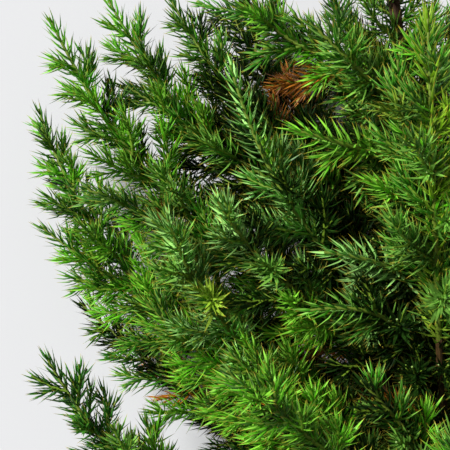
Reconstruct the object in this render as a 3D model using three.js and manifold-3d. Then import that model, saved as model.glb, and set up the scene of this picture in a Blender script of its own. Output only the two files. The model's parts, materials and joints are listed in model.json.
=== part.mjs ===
// A bushy juniper bough as cut from its shrub, lying on its side: one woody stem with a flat cut,
// side boughs that curve up and out of it, and on each a mass of needled shoots.
// Millimetres. While it is worked out, X points right and Y up the bough as seen from above, Z is up
// from the surface that it lies on, and the origin is under the middle of the shoots seen from above.
// The finished group has its origin under the middle of the whole bough.

import * as THREE from "three";
import { mergeVertices } from "three/addons/utils/BufferGeometryUtils.js";
import Module from "manifold-3d";

// The woody stem: a cubic curve from the cut to where its leading shoot takes over.
const STEM_CUT = [92, -165, 4.4];
const STEM_BEND_LOW = [72, -90, 40];
const STEM_BEND_HIGH = [66, 0, 52];
const STEM_TOP = [52, 92, 58];
const STEM_CUT_RADIUS = 4.7;
const STEM_TOP_RADIUS = 1.7;

// The limbs: foot is the share of the stem's length from the cut, tip is where the leading shoot's axis
// ends, heading is the way that shoot points seen from above (degrees from +X towards +Y), and rise is
// how far it points up. A limb that is leafy from its foot has no bare bough.
const LIMBS = [
  { name: "low_left", foot: 0.045, tip: [-59, -40, 60], heading: 118, rise: 6 },
  { name: "low_inner", foot: 0.105, tip: [-27, -62, 46], heading: 100, rise: 10 },
  { name: "under_left", foot: 0.135, tip: [-53, -26, 20], heading: 138, rise: 0 },
  { name: "middle_left", foot: 0.235, tip: [-65, 1, 34], heading: 142, rise: 4 },
  { name: "upper_left_back", foot: 0.29, tip: [-65, 42, 30], heading: 108, rise: 0 },
  { name: "upper_left", foot: 0.375, tip: [-57, 68, 64], heading: 115, rise: 6 },
  { name: "top_left", foot: 0.475, tip: [-40, 77, 48], heading: 118, rise: 0 },
  { name: "top_middle", foot: 0.58, tip: [-19, 76, 54], heading: 118, rise: 4 },
  { name: "front_middle", foot: 0.44, tip: [1, 51, 80], heading: 106, rise: 10 },
  { name: "front_rosette", foot: 0.255, tip: [-18, 5, 90], heading: 104, rise: 40 },
  { name: "front_bottom", foot: 0.1, tip: [-1, -41, 104], heading: 140, rise: 16 },
  { name: "front_column", foot: 0.3, tip: [58, 63, 106], heading: 93, rise: 6 },
  { name: "low_middle", foot: 0.145, tip: [0, -39, 68], heading: 135, rise: 16 },
  { name: "inner_left", foot: 0.195, tip: [-28, -23, 58], heading: 136, rise: 10 },
  { name: "middle_left_front", foot: 0.34, tip: [-47, 13, 70], heading: 156, rise: 4 },
  { name: "upper_inner", foot: 0.52, tip: [-33, 46, 56], heading: 146, rise: 4 },
  { name: "right_upper", foot: 0.58, tip: [112, 60, 82], heading: 58, rise: 14 },
  { name: "right_middle", foot: 0.42, tip: [126, 10, 42], heading: 48, rise: 0 },
  { name: "right_low", foot: 0.24, tip: [124, -42, 74], heading: 52, rise: 14 },
  { name: "right_back", foot: 0.5, tip: [108, 36, 8], heading: 54, rise: -6 },
  { name: "right_bottom", foot: 0.14, tip: [120, -78, 40], heading: 60, rise: 4 },
  { name: "back_upper", foot: 0.55, tip: [0, 79, 21], heading: 116, rise: -2 },
  { name: "back_low", foot: 0.165, tip: [4, -38, 8], heading: 146, rise: -6 },
  { name: "top_right", foot: 0.8, tip: [0, 79, 66], heading: 126, rise: 6, leafyFromFoot: true },
  { name: "front_upper", foot: 0.68, tip: [17, 29, 94], heading: 166, rise: 10, leafyFromFoot: true },
  { name: "front_right", foot: 0.505, tip: [28, -8, 86], heading: 174, rise: 6, leafyFromFoot: true },
  { name: "front_lower", foot: 0.41, tip: [23, -27, 76], heading: 190, rise: 2, leafyFromFoot: true },
  { name: "middle_rosette", foot: 0.425, tip: [-4, 10, 90], heading: 120, rise: 34, leafyFromFoot: true },
  { name: "low_right", foot: 0.218, tip: [40, -46, 84], heading: 134, rise: 22, leafyFromFoot: true },
  { name: "right_top", foot: 0.76, tip: [92, 96, 62], heading: 66, rise: 6, leafyFromFoot: true },
  { name: "right_front", foot: 0.38, tip: [98, 6, 98], heading: 70, rise: 24, leafyFromFoot: true },
  { name: "upper_front", foot: 0.75, tip: [24, 62, 90], heading: 138, rise: 12, leafyFromFoot: true },
  { name: "inner_column", foot: 0.512, tip: [50, 52, 100], heading: 96, rise: 8, leafyFromFoot: true },
  { name: "low_column", foot: 0.155, tip: [66, -56, 98], heading: 100, rise: 16, leafyFromFoot: true },
  { name: "right_crown", foot: 0.62, tip: [86, 66, 92], heading: 76, rise: 22, leafyFromFoot: true },
];
const LEADER = { name: "leader", tip: [46, 130, 62], heading: 97, rise: 4 };
const LEAFY_FOOT_RADIUS = 1.5;
const BOUGH_FOOT_RADIUS = 2;
const BOUGH_END_RADIUS = 1.15;
const FOOT_BEND_SHARE = 0.35; // how far a bough's curve runs straight at its foot, as a share of its chord
const TIP_BEND_SHARE = 0.55; // the same at its tip
const STEM_PULL = 0.55; // how much a bough's foot follows the stem's own direction

// The needled part at the end of each bough.
const LEAFY_SHARE = 0.76;
const LEAFY_MOST = 108;
const SHOOT_CORE_RADIUS = 0.85;
const SHOOT_TIP_RADIUS = 0.45;
const AXIS_WHORL_STEP = 8.4;

// Side shoots stand round a leafy axis, longer the further they are from its tip.
const SIDE_FIRST = 11;
const SIDE_STEP = 5.6;
const SIDE_SHORTEST = 9;
const SIDE_GROWTH = 0.24;
const SIDE_LONGEST = 34;
const SIDE_SPREAD = 48; // degrees between a side shoot's foot and its axis
const SIDE_FORWARD = 0.45; // how much of that spread is left at the side shoot's tip
const SIDE_FLATNESS = 0.6; // how far side shoots stand above and below a limb, as a share of beside it
const SIDE_TURN = 137.5; // degrees round the axis from one side shoot to the next
const SIDE_WHORL_STEP = 8;
const SIDE_SKIP = 2; // every second side shoot of the rule is a solid here
// Fronds whose first side shoot stands further back from their tip than SIDE_FIRST.
const CLEAR_TIPS = {
  low_left: 16,
  middle_left: 16,
  upper_left: 20,
  top_left: 16,
  top_middle: 15,
  front_middle: 40,
  front_upper: 26,
  front_right: 32,
  front_lower: 26,
  upper_front: 20,
  right_front: 20,
};

// Needles stand in whorls of three, each whorl turned half way from the last.
const NEEDLE_LENGTH = 10;
const NEEDLE_TIP_SHARE = 0.75;
const NEEDLE_SPREAD_LOW = 50;
const NEEDLE_SPREAD_TIP = 24;
const NEEDLE_RADIUS = 0.62;
const WHORL = 3;

const GAP = 0.3;
const ROOT_STRETCHES = 2; // of a leafy axis, which lie in or close along the limb that it grows out of
const PATH_STEPS = 40;
const LIMB_SIDES = 5;
const STEM_SIDES = 10;
const STEM_RINGS = 14;
const BOUGH_RINGS = 4;

const wasm = await Module();
wasm.setup();

const UP = new THREE.Vector3(0, 0, 1);
const ALONG = new THREE.Vector3(0, 1, 0);
const radians = THREE.MathUtils.degToRad;
const lerp = THREE.MathUtils.lerp;

// A repeatable number from 0 to 1 for one use of one shoot of one limb.
function chance(limb, shoot, use) {
  let n = Math.imul(limb, 73856093) ^ Math.imul(shoot, 19349663) ^ Math.imul(use, 83492791);
  n = Math.imul(n ^ (n >>> 13), 1274126177);
  n ^= n >>> 16;
  return (n >>> 0) / 2 ** 32;
}

function vector(point) {
  return new THREE.Vector3(...point);
}

function pointing(heading, rise) {
  const flat = Math.cos(radians(rise));
  return new THREE.Vector3(
    flat * Math.cos(radians(heading)),
    flat * Math.sin(radians(heading)),
    Math.sin(radians(rise)),
  );
}

// Two directions square to a limb's own, the same all along a limb that keeps its reference.
function squareTo(direction, reference) {
  const side = new THREE.Vector3().crossVectors(reference, direction).normalize();
  return [side, new THREE.Vector3().crossVectors(direction, side)];
}

function referenceFor(direction) {
  return Math.abs(direction.z) < 0.8 ? UP : ALONG;
}

// A point and direction on a path of evenly spaced points, at a share of its length.
function placeOn(path, share) {
  const steps = path.length - 1;
  const at = THREE.MathUtils.clamp(share * steps, 0, steps);
  const first = Math.min(Math.floor(at), steps - 1);
  const point = path[first].clone().lerp(path[first + 1], at - first);
  const direction = path[first + 1].clone().sub(path[first]).normalize();
  return { point, direction };
}

function lengthOf(path) {
  return path.slice(1).reduce((sum, point, i) => sum + point.distanceTo(path[i]), 0);
}

function stemPath() {
  const curve = new THREE.CubicBezierCurve3(
    vector(STEM_CUT), vector(STEM_BEND_LOW), vector(STEM_BEND_HIGH), vector(STEM_TOP),
  );
  return curve.getSpacedPoints(PATH_STEPS);
}

function limbPath(from, fromDirection, limb) {
  const tip = vector(limb.tip);
  const reach = from.distanceTo(tip);
  const out = tip.clone().sub(from).normalize().addScaledVector(fromDirection, STEM_PULL).normalize();
  const curve = new THREE.CubicBezierCurve3(
    from,
    from.clone().addScaledVector(out, reach * FOOT_BEND_SHARE),
    tip.clone().addScaledVector(pointing(limb.heading, limb.rise), -reach * TIP_BEND_SHARE),
    tip,
  );
  return curve.getSpacedPoints(PATH_STEPS);
}

// The part of a path between two shares of its length, as a new path.
function stretchOf(path, from, to, steps) {
  return Array.from({ length: steps + 1 }, (_, i) => placeOn(path, lerp(from, to, i / steps)).point);
}

function directionAt(path, i) {
  return path[Math.min(i + 1, path.length - 1)].clone().sub(path[Math.max(i - 1, 0)]).normalize();
}

function solidFrom(geometry) {
  geometry.deleteAttribute("normal");
  geometry.deleteAttribute("uv");
  const merged = mergeVertices(geometry, 1e-4);
  return new wasm.Manifold(new wasm.Mesh({
    numProp: 3,
    vertProperties: merged.attributes.position.array,
    triVerts: new Uint32Array(merged.index.array),
  }));
}

// A tapering limb: a cylinder bent along a path.
function limbSolid(path, footRadius, endRadius, sides) {
  const rings = path.length - 1;
  const geometry = new THREE.CylinderGeometry(1, 1, 1, sides, rings);
  const position = geometry.attributes.position;
  const reference = referenceFor(directionAt(path, rings >> 1));
  for (let i = 0; i < position.count; i++) {
    const share = position.getY(i) + 0.5;
    const ring = Math.round(share * rings);
    const [side, over] = squareTo(directionAt(path, ring), reference);
    const radius = lerp(footRadius, endRadius, share);
    const moved = path[ring].clone()
      .addScaledVector(side, position.getZ(i) * radius)
      .addScaledVector(over, position.getX(i) * radius);
    position.setXYZ(i, moved.x, moved.y, moved.z);
  }
  return solidFrom(geometry);
}

// Stretches of needle and core already placed, each with the limb that they belong to.
const placed = [];

function closestGap(a, b) {
  const alongA = a.end.clone().sub(a.start);
  const alongB = b.end.clone().sub(b.start);
  const apart = a.start.clone().sub(b.start);
  const aa = alongA.dot(alongA);
  const bb = alongB.dot(alongB);
  const ab = alongA.dot(alongB);
  const ca = alongA.dot(apart);
  const cb = alongB.dot(apart);
  const spread = aa * bb - ab * ab;
  let s = spread > 1e-9 ? THREE.MathUtils.clamp((ab * cb - ca * bb) / spread, 0, 1) : 0;
  const t = THREE.MathUtils.clamp((ab * s + cb) / bb, 0, 1);
  s = THREE.MathUtils.clamp((ab * t - ca) / aa, 0, 1);
  const between = a.start.clone().addScaledVector(alongA, s)
    .distanceTo(b.start.clone().addScaledVector(alongB, t));
  return between - lerp(a.radius, a.endRadius, s) - lerp(b.radius, b.endRadius, t);
}

// Whether a stretch keeps above the surface and the gap from all others but its own shoot and the limb,
// if any, that it grows out of.
function isClear(stretch, parent = null) {
  if (Math.min(stretch.start.z - stretch.radius, stretch.end.z) < 0.1) return false;
  const reach = stretch.start.distanceTo(stretch.end) / 2 + stretch.radius + GAP;
  const middle = stretch.start.clone().lerp(stretch.end, 0.5);
  return placed.every((other) => other.shoot === stretch.shoot
    || other.limb === parent
    || middle.distanceTo(other.middle) > reach + other.reach
    || closestGap(stretch, other) > GAP);
}

function place(stretch) {
  stretch.middle = stretch.start.clone().lerp(stretch.end, 0.5);
  stretch.reach = stretch.start.distanceTo(stretch.end) / 2 + stretch.radius;
  placed.push(stretch);
}

function coreStretches({ path, footRadius, endRadius, limb, shoot }) {
  return path.slice(1).map((end, i) => ({
    start: path[i],
    end,
    radius: lerp(footRadius, endRadius, i / (path.length - 1)),
    endRadius: lerp(footRadius, endRadius, (i + 1) / (path.length - 1)),
    limb,
    shoot,
  }));
}

// A shoot with its whorls of needles, as one closed surface: a slim three-sided core whose sides are
// drawn out into needles. The path's last point is the shoot's own tip. A needle that would touch
// another shoot or the surface below is left out.
function shootSolid({ path, footRadius, endRadius, bareWhorls, turn, limb, shoot }) {
  const rings = path.length - 1;
  const reference = referenceFor(directionAt(path, rings >> 1));
  const corners = [];
  const faces = [];
  const corner = (point) => corners.push(point) - 1;
  const ringCorner = (ring, side) => ring * WHORL + (side % WHORL);
  const frames = [];
  for (let ring = 0; ring < rings; ring++) {
    const direction = directionAt(path, ring);
    const [side, over] = squareTo(direction, reference);
    frames.push({ direction, side, over });
    const radius = lerp(footRadius, endRadius, ring / rings);
    for (let i = 0; i < WHORL; i++) {
      const angle = turn + (ring / 2 + i) * (2 * Math.PI / WHORL);
      corner(path[ring].clone()
        .addScaledVector(side, Math.cos(angle) * radius)
        .addScaledVector(over, Math.sin(angle) * radius));
    }
  }
  const tip = corner(path[rings]);
  faces.push([ringCorner(0, 0), ringCorner(0, 2), ringCorner(0, 1)]);
  for (let ring = 0; ring < rings - 1; ring++) {
    for (let i = 0; i < WHORL; i++) {
      const base = [ringCorner(ring, i), ringCorner(ring, i + 1), ringCorner(ring + 1, i)];
      faces.push([base[1], ringCorner(ring + 1, i + 1), base[2]]);
      const needle = ring < bareWhorls ? null : needleOn(base.map((n) => corners[n]), ring, i);
      if (!needle) {
        faces.push(base);
        continue;
      }
      const point = corner(needle);
      base.forEach((n, k) => faces.push([n, base[(k + 1) % WHORL], point]));
    }
  }
  for (let i = 0; i < WHORL; i++) {
    faces.push([ringCorner(rings - 1, i), ringCorner(rings - 1, i + 1), tip]);
  }
  return solidOf(corners, faces);

  // The tip of the needle drawn out of one side, or null where it would touch something.
  function needleOn(base, ring, i) {
    const share = (ring + 1) / rings;
    const { direction, side, over } = frames[ring];
    const angle = turn + (ring / 2 + i + 0.5) * (2 * Math.PI / WHORL);
    const spread = radians(lerp(NEEDLE_SPREAD_LOW, NEEDLE_SPREAD_TIP, share));
    const start = base[0].clone().add(base[1]).add(base[2]).divideScalar(WHORL);
    const end = start.clone().addScaledVector(
      direction.clone().multiplyScalar(Math.cos(spread))
        .addScaledVector(side, Math.cos(angle) * Math.sin(spread))
        .addScaledVector(over, Math.sin(angle) * Math.sin(spread)),
      NEEDLE_LENGTH * lerp(1, NEEDLE_TIP_SHARE, share),
    );
    const edges = [base[2], base[0].clone().lerp(base[1], 0.5)]
      .map((from) => ({ start: from, end, radius: NEEDLE_RADIUS, endRadius: 0, limb, shoot }));
    if (!edges.every((edge) => isClear(edge))) return null;
    edges.forEach(place);
    return end;
  }
}

function solidOf(corners, faces) {
  const geometry = new THREE.BufferGeometry().setFromPoints(corners);
  geometry.setIndex(faces.flat());
  return solidFrom(geometry);
}

// The side shoots of a leafy axis: where each stands, its path, and its number in the rule.
function sideShoots(path, limb, first) {
  const length = lengthOf(path);
  const reference = referenceFor(directionAt(path, path.length >> 1));
  const shoots = [];
  for (let i = 0; first + i * SIDE_STEP < length - 2; i++) {
    const fromTip = first + i * SIDE_STEP;
    const { point, direction } = placeOn(path, 1 - fromTip / length);
    const [side, over] = squareTo(direction, reference);
    const turn = radians(i * SIDE_TURN + 360 * chance(limb, 0, 1) + 30 * chance(limb, i, 2));
    const spread = radians(SIDE_SPREAD + 12 * (chance(limb, i, 3) - 0.5));
    const out = side.clone().multiplyScalar(Math.cos(turn))
      .addScaledVector(over, Math.sin(turn) * SIDE_FLATNESS).normalize();
    const reach = Math.min(SIDE_LONGEST, SIDE_SHORTEST + SIDE_GROWTH * fromTip)
      * (0.8 + 0.4 * chance(limb, i, 4));
    const from = direction.clone().multiplyScalar(Math.cos(spread)).addScaledVector(out, Math.sin(spread));
    const bent = spread * SIDE_FORWARD;
    const to = direction.clone().multiplyScalar(Math.cos(bent)).addScaledVector(out, Math.sin(bent));
    shoots.push({ number: i, point, from, to, reach });
  }
  return shoots;
}

// A side shoot's own path: its direction turns evenly from the way it leaves to the way it ends.
function bentPath({ point, from, to, reach }, steps) {
  return Array.from({ length: steps + 1 }, (_, i) => {
    const t = i / steps;
    return point.clone()
      .addScaledVector(from, reach * (t - t * t / 2))
      .addScaledVector(to, reach * t * t / 2);
  });
}

// A union's own outer skin: its sealed hollows are filled and loose scraps dropped.
function outerSkin(solid) {
  return solid.decompose().reduce((most, part) => (part.volume() > most.volume() ? part : most));
}

const bark = new THREE.MeshStandardMaterial({ color: 0x6b4a33, roughness: 0.9, metalness: 0 });
const boughBark = new THREE.MeshStandardMaterial({ color: 0x7a5a36, roughness: 0.85, metalness: 0 });
const foliage = new THREE.MeshStandardMaterial({ color: 0x3f7a2c, roughness: 0.55, metalness: 0 });

function meshOf(name, solid, material) {
  const made = solid.getMesh();
  const geometry = new THREE.BufferGeometry();
  geometry.setAttribute("position", new THREE.BufferAttribute(Float32Array.from(made.vertProperties), 3));
  geometry.setIndex(new THREE.BufferAttribute(Uint32Array.from(made.triVerts), 1));
  geometry.computeVertexNormals();
  const mesh = new THREE.Mesh(geometry, material);
  mesh.name = name;
  return mesh;
}

function stemSolid(path) {
  return limbSolid(stretchOf(path, 0, 1, STEM_RINGS), STEM_CUT_RADIUS, STEM_TOP_RADIUS, STEM_SIDES);
}

// The stem made thicker by the gap, which cuts each bough's foot to a saddle clear of it.
function stemClearance(path) {
  return limbSolid(
    stretchOf(path, 0, 1, STEM_RINGS), STEM_CUT_RADIUS + GAP, STEM_TOP_RADIUS + GAP, STEM_SIDES,
  );
}

const stem = stemPath();
const clearance = stemClearance(stem);
const limbs = LIMBS.map((limb) => {
  const { point, direction } = placeOn(stem, limb.foot);
  const path = limbPath(point, direction, limb);
  const length = lengthOf(path);
  const leafy = limb.leafyFromFoot ? 0 : 1 - Math.min(LEAFY_SHARE * length, LEAFY_MOST) / length;
  return { ...limb, path, length, leafy };
});
const leaderPath = limbPath(stem[PATH_STEPS], directionAt(stem, PATH_STEPS), LEADER);
limbs.push({ ...LEADER, path: leaderPath, length: lengthOf(leaderPath), leafy: 0 });

const group = new THREE.Group();
group.add(meshOf("stem", stemSolid(stem), bark));
coreStretches({
  path: stem, footRadius: STEM_CUT_RADIUS, endRadius: STEM_TOP_RADIUS, limb: "stem", shoot: "stem",
}).forEach(place);

limbs.filter((limb) => limb.leafy > 0).forEach(({ name, path: whole, leafy }) => {
  const path = stretchOf(whole, 0, leafy, BOUGH_RINGS);
  const solid = limbSolid(path, BOUGH_FOOT_RADIUS, BOUGH_END_RADIUS, LIMB_SIDES).subtract(clearance);
  group.add(meshOf("bough_" + name, outerSkin(solid), boughBark));
  coreStretches({
    path, footRadius: BOUGH_FOOT_RADIUS, endRadius: BOUGH_END_RADIUS, limb: name, shoot: "bough",
  }).forEach(place);
});

// The core of each leafy axis comes first, then those of the side shoots that have room, then needles.
limbs.forEach((limb, i) => {
  const start = limb.leafyFromFoot ? 0 : limb.leafy + GAP / limb.length;
  const rings = Math.max(3, Math.round((1 - start) * limb.length / AXIS_WHORL_STEP));
  const axis = {
    path: stretchOf(limb.path, start, 1, rings),
    footRadius: limb.leafyFromFoot ? LEAFY_FOOT_RADIUS : SHOOT_CORE_RADIUS,
    endRadius: SHOOT_TIP_RADIUS,
    bareWhorls: 1,
    turn: chance(i, 0, 5) * Math.PI,
    limb: limb.name,
    shoot: limb.name,
  };
  const core = coreStretches(axis);
  if (!core.slice(ROOT_STRETCHES).every((stretch) => isClear(stretch))) {
    throw new Error(limb.name + " touches another limb");
  }
  core.forEach(place);
  limb.shoots = [axis];
});
limbs.forEach((limb, i) => {
  const rules = sideShoots(limb.shoots[0].path, i, CLEAR_TIPS[limb.name] ?? SIDE_FIRST);
  rules.filter(({ number }) => number % SIDE_SKIP === 0).forEach((rule) => {
    const shoot = {
      path: bentPath(rule, Math.max(2, Math.round(rule.reach / SIDE_WHORL_STEP))),
      footRadius: SHOOT_CORE_RADIUS,
      endRadius: SHOOT_TIP_RADIUS,
      bareWhorls: rule.reach > 2 * SIDE_WHORL_STEP ? 1 : 0,
      turn: chance(i, rule.number, 5) * Math.PI,
      limb: limb.name,
      shoot: limb.name + rule.number,
    };
    const core = coreStretches(shoot);
    if (!core.every((stretch, n) => isClear(stretch, n === 0 ? limb.name : null))) return;
    core.forEach(place);
    limb.shoots.push(shoot);
  });
});
limbs.forEach((limb) => {
  const whole = limb.shoots.map(shootSolid).reduce((joined, solid) => joined.add(solid));
  const clear = limb.leafyFromFoot ? whole.subtract(clearance) : whole;
  group.add(meshOf("foliage_" + limb.name, outerSkin(clear), foliage));
});

// The finished bough stands with its origin under its middle.
const box = new THREE.Box3().setFromObject(group, true);
const middle = box.getCenter(new THREE.Vector3());
group.position.set(-middle.x, -middle.y, -box.min.z);

export default group;
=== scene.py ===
"""A bushy juniper bough, cut and laid on a pale floor: fibrous bark, twigs and whorls of needles.

The limbs grow by the rule of the solids that they replace, in millimetres and degrees, and are carried
on to finer twigs. What is made of them is in metres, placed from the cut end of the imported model.
"""

import json
import math
from dataclasses import dataclass, replace
from functools import cache

import bpy
from bpy.props import FloatProperty, FloatVectorProperty, IntProperty, PointerProperty
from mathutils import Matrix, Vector, kdtree, noise


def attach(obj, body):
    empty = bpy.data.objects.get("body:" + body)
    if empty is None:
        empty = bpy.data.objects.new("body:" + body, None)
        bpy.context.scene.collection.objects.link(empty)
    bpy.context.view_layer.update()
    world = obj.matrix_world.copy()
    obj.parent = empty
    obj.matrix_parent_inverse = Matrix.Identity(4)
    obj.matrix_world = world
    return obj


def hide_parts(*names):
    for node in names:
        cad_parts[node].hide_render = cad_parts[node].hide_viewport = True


bl_info = {
    "name": "Juniper bough",
    "version": (1, 0, 0),
    "blender": (4, 5, 0),
    "location": "3D View > Sidebar > Juniper",
    "description": "Dresses a cut juniper bough with bark, twigs and needles",
    "category": "Object",
}

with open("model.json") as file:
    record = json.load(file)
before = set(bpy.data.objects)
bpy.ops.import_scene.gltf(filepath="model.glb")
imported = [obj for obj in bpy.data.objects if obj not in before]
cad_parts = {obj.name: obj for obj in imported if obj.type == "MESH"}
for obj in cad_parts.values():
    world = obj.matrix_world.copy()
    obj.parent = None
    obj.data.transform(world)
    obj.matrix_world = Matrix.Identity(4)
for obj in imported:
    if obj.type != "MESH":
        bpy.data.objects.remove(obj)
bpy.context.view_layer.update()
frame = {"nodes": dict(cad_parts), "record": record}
CUT_AT = Vector(frame["record"]["mounts"][0]["pos_m"])
MM = 0.001

# The woody stem: a cubic curve from the cut to where its leading shoot takes over.
STEM_CUT = Vector((92, -165, 4.4))
STEM_BEND_LOW = Vector((72, -90, 40))
STEM_BEND_HIGH = Vector((66, 0, 52))
STEM_TOP = Vector((52, 92, 58))
STEM_CUT_RADIUS = 4.7
STEM_TOP_RADIUS = 1.7

# The limbs: name, share of the stem's length from the cut to the foot, where the leading shoot's axis
# ends, the way that shoot points seen from above and how far it points up, in degrees.
BARE_LIMBS = (
    ("low_left", 0.045, (-59, -40, 60), 118, 6),
    ("low_inner", 0.105, (-27, -62, 46), 100, 10),
    ("under_left", 0.135, (-53, -26, 20), 138, 0),
    ("middle_left", 0.235, (-65, 1, 34), 142, 4),
    ("upper_left_back", 0.29, (-65, 42, 30), 108, 0),
    ("upper_left", 0.375, (-57, 68, 64), 115, 6),
    ("top_left", 0.475, (-40, 77, 48), 118, 0),
    ("top_middle", 0.58, (-19, 76, 54), 118, 4),
    ("front_middle", 0.44, (1, 51, 80), 106, 10),
    ("front_rosette", 0.255, (-18, 5, 90), 104, 40),
    ("front_bottom", 0.1, (-1, -41, 104), 140, 16),
    ("front_column", 0.3, (58, 63, 106), 93, 6),
    ("low_middle", 0.145, (0, -39, 68), 135, 16),
    ("inner_left", 0.195, (-28, -23, 58), 136, 10),
    ("middle_left_front", 0.34, (-47, 13, 70), 156, 4),
    ("upper_inner", 0.52, (-33, 46, 56), 146, 4),
    ("right_upper", 0.58, (112, 60, 82), 58, 14),
    ("right_middle", 0.42, (126, 10, 42), 48, 0),
    ("right_low", 0.24, (124, -42, 74), 52, 14),
    ("right_back", 0.5, (108, 36, 8), 54, -6),
    ("right_bottom", 0.14, (120, -78, 40), 60, 4),
    ("back_upper", 0.55, (0, 79, 21), 116, -2),
    ("back_low", 0.165, (4, -38, 8), 146, -6),
)
LEAFY_LIMBS = (
    ("top_right", 0.8, (0, 79, 66), 126, 6),
    ("front_upper", 0.68, (17, 29, 94), 166, 10),
    ("front_right", 0.505, (28, -8, 86), 174, 6),
    ("front_lower", 0.41, (23, -27, 76), 190, 2),
    ("middle_rosette", 0.425, (-4, 10, 90), 120, 34),
    ("low_right", 0.218, (40, -46, 84), 134, 22),
    ("right_top", 0.76, (92, 96, 62), 66, 6),
    ("right_front", 0.38, (98, 6, 98), 70, 24),
    ("upper_front", 0.75, (24, 62, 90), 138, 12),
    ("inner_column", 0.512, (50, 52, 100), 96, 8),
    ("low_column", 0.155, (66, -56, 98), 100, 16),
    ("right_crown", 0.62, (86, 66, 92), 76, 22),
)
LEADER = ("leader", 1.0, (46, 130, 62), 97, 4)
# Fronds that stand out into the light, and how far from their tip the first side shoot stands.
CLEAR_TIPS = {
    "low_left": 16, "middle_left": 16, "upper_left": 20, "top_left": 16, "top_middle": 15,
    "front_middle": 40, "front_upper": 26, "front_right": 32, "front_lower": 26,
    "upper_front": 20, "right_front": 20,
}
BOUGH_FOOT_RADIUS = 2.0
BOUGH_END_RADIUS = 1.15
LEAFY_FOOT_RADIUS = 1.5
FOOT_BEND_SHARE = 0.35
TIP_BEND_SHARE = 0.55
STEM_PULL = 0.55
LEAFY_SHARE = 0.76
LEAFY_MOST = 108
AXIS_RING_STEP = 8.4
AXIS_LEAST_RINGS = 3
GAP = 0.3
PATH_STEPS = 40
ARC_STEPS = 200
WOOD_STEPS = 160
TWIG_ROOT = 1.5  # how far a leafy axis starts inside its bough
BARE_STEM = 0.1  # share of the stem, from the cut, that bears no shoots of its own
FLOOR_CLEARANCE = 0.4
LIMB_CLEARANCE = 1.3
LIMB_RADIUS = 1.0
GUARD_SHARE = 0.25  # the stem's guard shrinks to the top radius by here, and is gone by its middle
FOOT_POINTS = 2  # points at a shoot's foot that may be close to other wood
FLATNESS = 0.6  # how far shoots stand above and below their limb, as a share of beside it
STEEP = 0.8  # a limb whose direction rises by more than this is measured from another reference
BARE_FOOT = 2  # shoots stand no nearer than this to the foot of what bears them
TURN_SCATTER = 30
SPREAD_SCATTER = 12
SCATTER = 0.4  # from the least to the most, of a shoot's reach and of the height of the shade

# What a draw is for, and the first numbers that short shoots, low shoots and bare wood have in it.
FIRST_TURN, TURN, SPREAD, REACH = range(1, 5)
TONE = 9
PATCH = 20
SHORT_NUMBER = 900
LOW_NUMBER = 700
BARE_NUMBER = 100
OWN_NUMBERS = 1000  # numbers kept for what stands on one shoot

# The radii of the kinds of shoot, at the foot and at the tip, and those past which a twig isn't fine
# any more and is an old one.
AXIS_TIP_RADIUS = 0.4
SIDE_RADII = (0.65, 0.35)
SHORT_RADII = (0.5, 0.3)
INNER_RADII = (0.6, 0.35)
TWIGLET_RADII = (0.45, 0.3)
YOUNG_RADIUS = 0.5
OLD_RADIUS = 1.0

# The needles are smaller on the outer sprays, left of the first place, and full grown past the second.
# On minor shoots they are a share of that size, and in the shade a share of the whole size.
SPRAY_NEEDLES = (0.98, 1.12)
SPRAY_NEEDLES_X = (-25, 40)
TWIGLET_NEEDLE = 0.9
SHORT_NEEDLE = 0.92
INNER_NEEDLE = 0.9
INNER_TWIGLET_NEEDLE = 0.8

# Tones of needle, dealt out by spray: which sprays have it, its back and its face. A patch is a tone, a
# place over the floor, its radius and the share of the sprays there that have the tone.
TONES = {
    "fresh": ("Young outer sprays", (70, 146, 9), (122, 184, 48)),
    "green": ("Most sprays", (38, 104, 6), (108, 158, 56)),
    # The rich tone is a darker, more saturated green, dealt out to the sprays at the lower left.
    "rich": ("Full grown outer sprays", (20, 82, 4), (64, 130, 28)),
    # The silvery and pale tones are partly the bloom on the needles' faces and partly painted light:
    # their backs are lighter too, to show those fronds and rosettes brightly lit.
    "silvery": ("Sprays with some bloom", (54, 120, 22), (138, 188, 98)),
    "pale": ("Rosettes with much bloom", (66, 136, 36), (160, 214, 112)),
    # Painted shade: the darkest tone, near-black needles put where the shade inside the bough falls.
    "deep": ("Shaded sprays", (11, 34, 3), (28, 56, 10)),
    "yellowed": ("Sun-bleached sprays", (98, 140, 16), (142, 174, 48)),
    "dry": ("Dead inner sprays", (128, 74, 12), (192, 118, 32)),
}
PATCHES = (
    ("dry", (28, 44), 8, 0.4),
    ("dry", (62, 16), 8, 0.25),
    ("dry", (-16, -55), 13, 0.25),
    ("yellowed", (-9, -17), 11, 0.35),
    ("yellowed", (52, 20), 20, 0.15),
    ("rich", (-50, -62), 25, 0.85),
    ("fresh", (8, -62), 34, 0.85),
    ("fresh", (-44, 34), 26, 0.6),
    ("fresh", (-48, -2), 26, 0.5),
    ("fresh", (26, 26), 12, 0.6),
    # This fresh patch is partly young growth and partly painted light: it lightens the lower front frond
    # where the rosettes shade it.
    ("fresh", (24, -27), 9, 0.7),
)
HANGING_LIMBS = ("top_right", "upper_front", "back_upper")  # these bear longer low shoots
# Fronds and rosettes with the silvery and pale tones, whose lighter colour is partly bloom and partly
# painted light.
SILVERY_LIMBS = ("front_middle", "front_rosette", "middle_rosette", "front_right")
ROSETTES = ("front_rosette", "middle_rosette")
SILVERY_HEIGHT = 55
SILVERY_SHARE = 0.6
PALE_SHARE = 0.3
FRESH_SHARE = 0.2
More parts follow.
